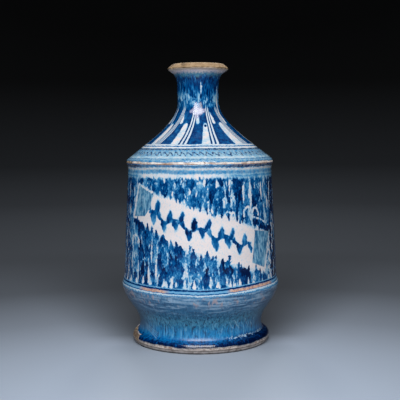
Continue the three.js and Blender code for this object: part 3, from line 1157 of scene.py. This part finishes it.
def paint_drum(mesh, ground):
    """Writes the brushwork of the drum to the lower coat."""
    draws = np.random.default_rng(7)
    dabs = Brushwork(ground)
    dabbed_field(dabs, draws)
    reserve = Brushwork(ground)
    marks_left_pale(reserve, draws)
    scallops(reserve, 33.5, 114.5, (4.6, 3.8), 1.7)
    scallops(reserve, 18, 114, (2.6, 2), 1.4)
    scallops(reserve, -61, 89, (6,), 1.3)
    serpentine(reserve, 62, 90, 58, 2.1, 4, 1.4)
    serpentine(reserve, 69, 112, 82, 1.6, 3, 1.2)
    for azimuth in range(92, 264, 24):
        height = draws.uniform(66, 116)
        twig(reserve, azimuth + draws.uniform(-4, 4), height, draws.uniform(15, 22), 1.6)
        serpentine(reserve, azimuth + 12, height + 20, height, 1.6, 2, 1.3)
    reserve.stroke((-59, 111, 1.6), (-53, 139.5, 1.6))
    reserve.stroke((-53, 139.5, 1.2), (-37, 132.5, 1.8))
    reserve.stroke((-35, 125, 2.6), (-39, 118, 3), (-44, 112, 2))
    reserve.stroke((63.5, 99, 1.8), (54, 67, 1.8))
    reserve.stroke((42, 112, 1.2), (52, 109, 1.6), (61, 104, 1))
    wash = np.maximum(quadrangle(ground, left_end), quadrangle(ground, right_end))
    drawn = Brushwork(ground)
    vine(drawn, draws)
    band = banderole(ground)
    write_layers(
        mesh, dab=dabs.depth, tone=np.where(drawn.depth > -2, drawn.tone, dabs.tone),
        reserve=np.where(band > 0, -far, reserve.depth), wash=np.where(reserve.depth > 0, -far, wash),
        drawn=drawn.depth, band=band, edge=np.clip(ground.from_edge, -far, far),
    )


# Round the shoulder: azimuth, lean up to the tip and share of the full width of each white tongue, then
# azimuth and lean of the strip at its right, in degrees, and the place in the stripes where its middle
# lies: a white line at 0 and a dark one at 0.36.
tongues = [
    (-58, 2, 1, -50, 11, 0), (-26.5, 3, 1, -17.3, 9, 0.36), (7, 4, 1, 16.8, 4, 0.36),
    (46.5, -3.5, 1.4, 57.5, -8, 0), (83, 2, 1, 93, -3, 0.36), (119, 3, 1.1, 129, 5, 0),
    (155, -2, 1, 165, 2, 0.36), (191, 3, 1, 201, 4, 0), (227, 2, 1.2, 237, 5, 0.36), (264, 1, 1, 274, 6, 0),
]
strip_widths = [(tongue_foot, 3.9), (180, 3), (190, 2.2), (204, 1.5)]


def strip_place(azimuth, lean, height):
    """The azimuth of a strip's middle at a height."""
    return azimuth + lean * np.clip((height - tongue_foot) / 29, 0, 1.2)


def strips(ground):
    """How far each vertex lies from the middle of the nearest strip, as a share of its half width."""
    half = np.interp(ground.height, *zip(*strip_widths))
    nearest = np.full(len(half), float(far))
    for *_, azimuth, lean, core in tongues:
        away = np.abs(ground.across(strip_place(azimuth, lean, ground.height))) / half
        nearest = np.minimum(nearest, core + (1 - core) * away)
    return nearest


def paint_shoulder(mesh, ground):
    """Writes the brushwork of the shoulder and neck to the upper coat."""
    draws = np.random.default_rng(11)
    reserve, drawn, bloom = (Brushwork(ground) for _ in range(3))
    for azimuth, lean, full, strip, strip_lean, _ in tongues:
        reserve.stroke(
            (azimuth, tongue_foot, 7.4 * full), (azimuth + lean * 0.6, 180, 5.8 * full),
            (azimuth + lean, 185.4, 4.4 * full), (azimuth + lean * 1.06, 187.2, 3.6 * full),
        )
        spot = strip_place(strip, strip_lean, 191) + draws.uniform(7, 9)
        reserve.stroke((spot + 1, 190, 2.6), (spot, 193, 2.8), (spot - 2, 198, 1))
        reserve.stroke((spot - 1, 193, 2), (spot - 4, 196, 1.4))
    # A painted highlight: a thin pale streak up the front of the neck.
    reserve.stroke((7, 223.5, 0.6), (8.5, 220, 1.5), (7.5, 214, 0.7))
    reserve.stroke((66, 221, 0.6), (64, 212, 1.6), (60, 202, 1.8), (57, 192, 1))
    reserve.stroke((-64, 207, 0.6), (-66, 198, 1.3), (-62, 189, 0.8))
    drawn.stroke((10.2, 186.8, 1.9), (10.6, 186.9, 1.9))
    # A painted highlight: the lilac patch across the front of the neck sweep and up its middle.
    bloom.stroke((-19, 199, 1.8), (-10, 200, 5), (3, 199, 5.2), (16, 200.5, 1.6))
    bloom.stroke((-7, 206, 1.2), (-6, 200, 4), (-4, 195, 3.4))
    write_layers(mesh, reserve=reserve.depth, drawn=drawn.depth, bloom=bloom.depth, strip=strips(ground))


def even_depth(azimuth, along, waves=7, run=5):
    """The depth of a coat that is slightly wavy."""
    return glaze_thickness * (0.86 + 0.1 * np.sin(np.radians(azimuth) * waves + along / run))


def coats():
    """The three glaze coats."""
    where = outside.where
    ragged_foot = wave((7, 0.24, 0), (13, 0.16, 2), (29, 0.12, 1), (61, 0.08, 4))
    under_arris = wave((5, 0.2, 1), (17, 0.16, 0), (43, 0.12, 3))
    over_arris = wave((6, 0.25, 2), (19, 0.18, 1), (47, 0.12, 0))
    under_lip = wave((5, 0.3, 0), (11, 0.25, 3), (31, 0.15, 1))
    straight = wave()
    upper_end = where(lip_level - bare_lip)

    def foot_edge(azimuth):
        ragged = ragged_foot(azimuth)
        flake = rise(azimuth, flake_low - 1, flake_low + 1.5)
        flake = flake - rise(azimuth, flake_high - 1, flake_high + 1)
        return ragged + flake * (5.2 + 1.2 * ragged)

    def lower_depth(azimuth, along):
        return even_depth(azimuth, along, 9, 7) + 0.5 * (1 - rise(along, where(9), where(13)))

    def upper_depth(azimuth, along):
        return even_depth(azimuth, along) * (1 - 0.75 * rise(along, where(lip_level - 5), upper_end))

    mesh, ground = skin(
        "lower_coat", outside, 1, where(bare_foot), where(arris_level - bare_below_arris), foot_edge,
        under_arris, lower_depth, fine_row, around,
    )
    paint_drum(mesh, ground)
    finished(mesh, "lower_glaze", lower_painting())
    mesh, ground = skin(
        "upper_coat", outside, 1, where(arris_level + bare_above_arris), upper_end, over_arris, under_lip,
        upper_depth, upper_row, around,
    )
    paint_shoulder(mesh, ground)
    finished(mesh, "upper_glaze", upper_painting())
    mesh, _ = skin(
        "inner_coat", inside, -1, bare_floor, inside.where(top_level - bare_mouth), straight, under_lip,
        even_depth, coarse_row, around_inside,
    )
    finished(mesh, "inner_glaze", inner_wash())


def studio_paper():
    """Grey paper: a painted pool of light before the pot, and its painted shadow behind and beside it."""
    paint = Finish("studio_paper")
    east, north = paint.east, paint.north
    forward = north + 250
    away = paint.math("SQRT", east * east + forward * forward)
    reach = 3600
    cool = (0.93, 1, 1.1)
    # The tones are a painted pool of light: lightest in front of the pot and darker with distance.
    tones = [(100, 170), (240, 145), (340, 115), (500, 75), (750, 58), (2300, 36), (3100, 14)]
    paper = paint.ramp((away + paint.height) / reach, [
        (distance / reach, *(tone * share for share in cool)) for distance, tone in tones
    ])
    # A painted shadow of the pot on the paper, strongest just behind it, fading out to the sides and wider
    # further back.
    shade = north.profile((-25, 0), (10, 0.8), (60, 0.8), (120, 0.7), (300, 0.5), (560, 0))
    aside = (abs(east) / (north * 0.45 + 110)).step(0.3, 1.05)
    # Painted light on the paper just in front of the pot.
    before = (1 - abs(east).step(45, 95)) * north.between(-210, -45, 25)
    paper = paint.over(paper, (shade * (1 - aside), (0, 0, 0)), (before * 0.32, (190, 200, 212)))
    return paint.close(paper, 0.9, Specular_IOR_Level=0.1)


def studio():
    """A pale cove round the pot, soft lamps and a dim even sky, in metres and watts."""
    form = bmesh.new()
    cove_steps = 72
    profile = [(0, 0), (1.5, 0), (2.1, 0.08), (2.5, 0.4), (2.6, 1), (2.6, 2.6)]
    ring = [form.verts.new((0, -radius, height)) for radius, height in profile]
    spin(form, ring, False, cove_steps)
    mesh = smooth_mesh(form, "studio_cove")
    mesh.materials.append(studio_paper())
    cove = linked("studio_cove", mesh)

    world = bpy.data.worlds.new("studio_sky")
    world.use_nodes = True
    sky = world.node_tree.nodes["Background"].inputs
    sky["Color"].default_value = (1, 1, 1, 1)
    sky["Strength"].default_value = 0.07
    bpy.context.scene.world = world
    for name, place, size, power in [
        ("key_lamp", (-0.06, -1.35, 1.3), 1.4, 44), ("back_lamp", (0, 1.5, 1.6), 0.9, 26),
    ]:
        lamp = bpy.data.lights.new(name, "AREA")
        lamp.shape = "SQUARE"
        lamp.size = size
        lamp.energy = power
        holder = linked(name, lamp)
        holder.location = place
        aim = Vector((0, 0, 0.12)) - Vector(place)
        holder.rotation_euler = aim.to_track_quat("-Z", "Y").to_euler()


def camera():
    """The photograph's view: slightly from above, with the pot turned a hair anticlockwise."""
    lens = bpy.data.cameras.new("view_camera")
    lens.sensor_width = 36
    lens.lens = 74.58
    lens.clip_start = 0.01
    holder = linked("view_camera", lens)
    place = Matrix.Translation((0, -0.72446, 0.17843))
    tilt = Matrix.Rotation(math.radians(85.577), 4, "X")
    roll = Matrix.Rotation(math.radians(-0.37), 4, "Z")
    holder.matrix_world = place @ tilt @ roll
    bpy.context.scene.camera = holder


bpy.context.scene.view_settings.view_transform = "Standard"
camera()
studio()
clay_body()
coats()
